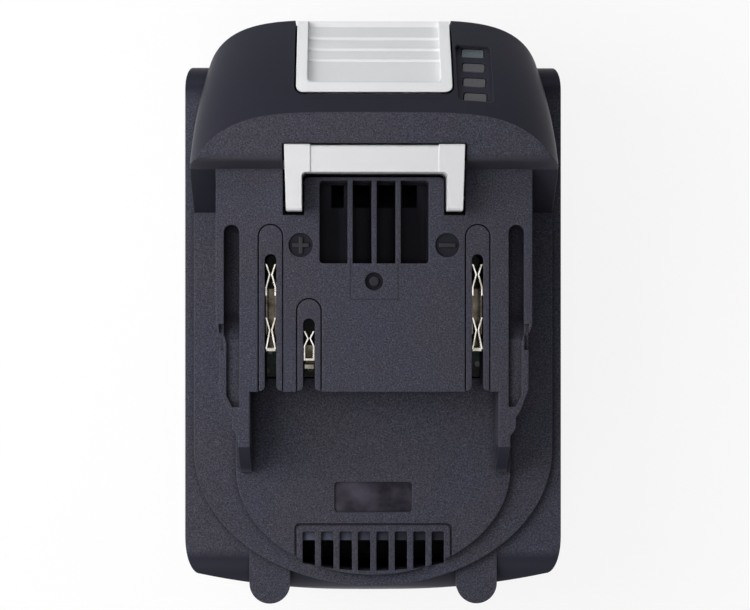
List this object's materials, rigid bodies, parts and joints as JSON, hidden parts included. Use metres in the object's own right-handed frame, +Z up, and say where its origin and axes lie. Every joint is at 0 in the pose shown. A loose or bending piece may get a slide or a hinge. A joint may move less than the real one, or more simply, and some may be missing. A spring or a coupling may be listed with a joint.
{
  "type": "power tool battery pack",
  "caption": "Slide-on rechargeable battery pack with side rails, forked contacts in slots, cooling vents, a sprung latch with finger button and a charge gauge.",
  "frame": {"origin": "centre of the footprint, on the flat underside", "axes": "+Y along the pack towards the release button, -Y enters the tool first, +Z up towards the rails"},
  "size_m": [0.0738, 0.1146, 0.0629],
  "materials": {
    "case_black": "fine spark-eroded texture",
    "latch_white": "satin moulded",
    "button_grey": "satin moulded",
    "window_smoke": "smoky clear",
    "board_green": "solder resist",
    "component_black": "moulded epoxy",
    "led_clear": "clear lens",
    "clip_nickel": "bright nickel plate",
    "strip_nickel": "rolled nickel",
    "cell_wrap": "shrink sleeve",
    "holder_grey": "moulded",
    "insulating_paper": "fish paper",
    "spring_steel": "drawn wire",
    "screw_steel": "zinc plated"
  },
  "bodies": {
    "pack": {"upper_case": "case_black", "lower_case": "case_black", "latch_spring": "spring_steel", "gauge_windows": "window_smoke", "gauge_board": "board_green", "gauge_leds": "led_clear", "gauge_switch": "component_black", "main_board": "board_green", "board_components": "component_black", "terminal_carrier": "case_black", "positive_terminal": "clip_nickel", "negative_terminal": "clip_nickel", "signal_terminal": "clip_nickel", "cell_holder_left": "holder_grey", "cell_holder_right": "holder_grey", "cell_01": "cell_wrap", "cell_02": "cell_wrap", "cell_03": "cell_wrap", "cell_04": "cell_wrap", "cell_05": "cell_wrap", "cell_06": "cell_wrap", "cell_07": "cell_wrap", "cell_08": "cell_wrap", "cell_09": "cell_wrap", "cell_10": "cell_wrap", "bus_left_1": "strip_nickel", "bus_left_2": "strip_nickel", "bus_left_3": "strip_nickel", "bus_right_1": "strip_nickel", "bus_right_2": "strip_nickel", "bus_right_3": "strip_nickel", "insulator_left": "insulating_paper", "insulator_right": "insulating_paper", "thermistor": "component_black", "case_screws": "screw_steel", "board_screws": "screw_steel"},
    "latch": {"release_latch": "latch_white"},
    "check": {"check_button": "button_grey"}
  },
  "joints": [
    {"name": "latch_slide", "type": "slide", "parent": "pack", "child": "latch", "axis": [0, 0, -1], "range_m": [0, 0.0056], "stiffness_N_per_m": 600, "springref_m": -0.006, "deforming": ["latch_spring"]},
    {"name": "check_button_press", "type": "slide", "parent": "pack", "child": "check", "axis": [0, -0.7053, -0.7089], "range_m": [0, 0.0006], "stiffness_N_per_m": 1200, "springref_m": -0.0005}
  ]
}
